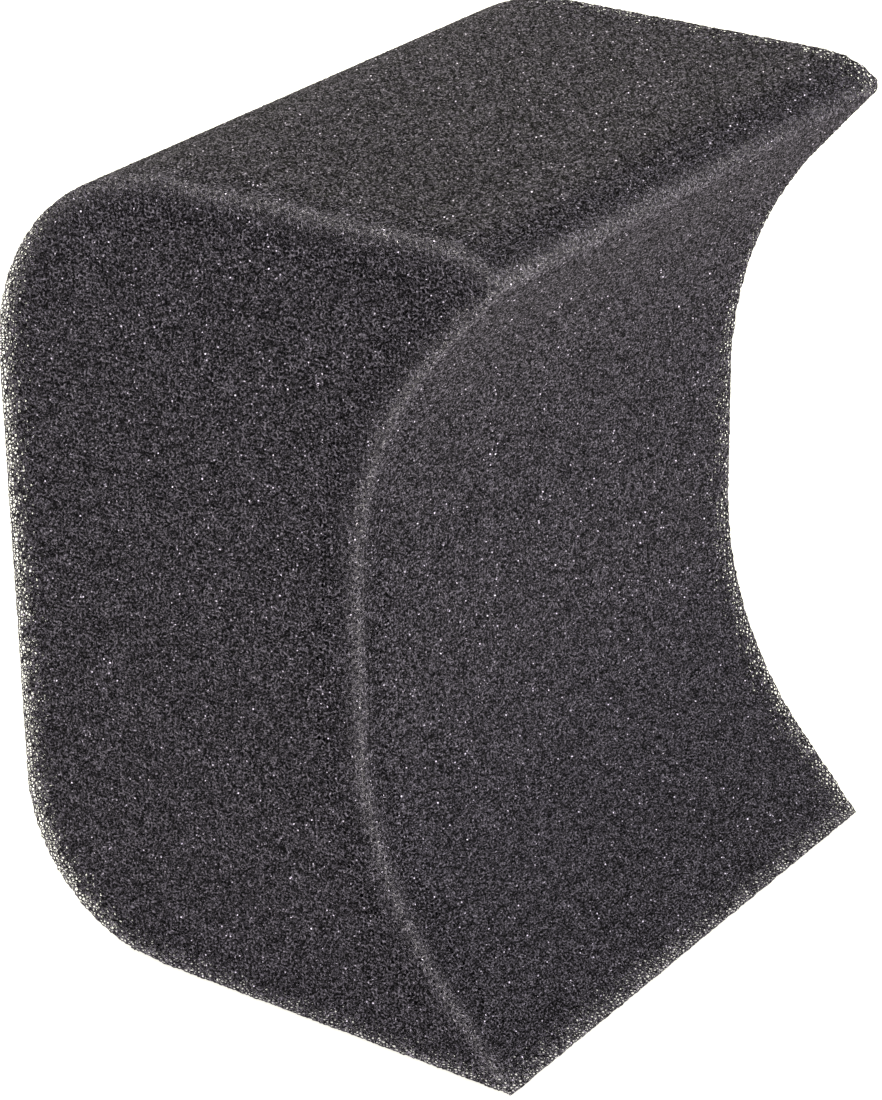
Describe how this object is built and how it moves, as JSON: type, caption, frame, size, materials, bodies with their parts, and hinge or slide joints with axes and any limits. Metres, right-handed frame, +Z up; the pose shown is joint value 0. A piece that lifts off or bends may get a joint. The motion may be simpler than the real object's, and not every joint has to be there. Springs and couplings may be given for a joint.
{
  "type": "sponge filter foam block",
  "caption": "Fine open-cell foam block with a flat outer side, round corners and a flared hollow along its inner side, for an aquarium filter.",
  "frame": {"origin": "centre of the bottom of the bounding box, on the surface that the block stands on", "axes": "+Z up, +Y along the prism, at right angles to both cut ends, +X out of the hollow"},
  "size_m": [0.0716, 0.08, 0.102],
  "materials": {
    "foam": "matte"
  },
  "bodies": {
    "root": {"foam_block": "foam"}
  },
  "joints": []
}
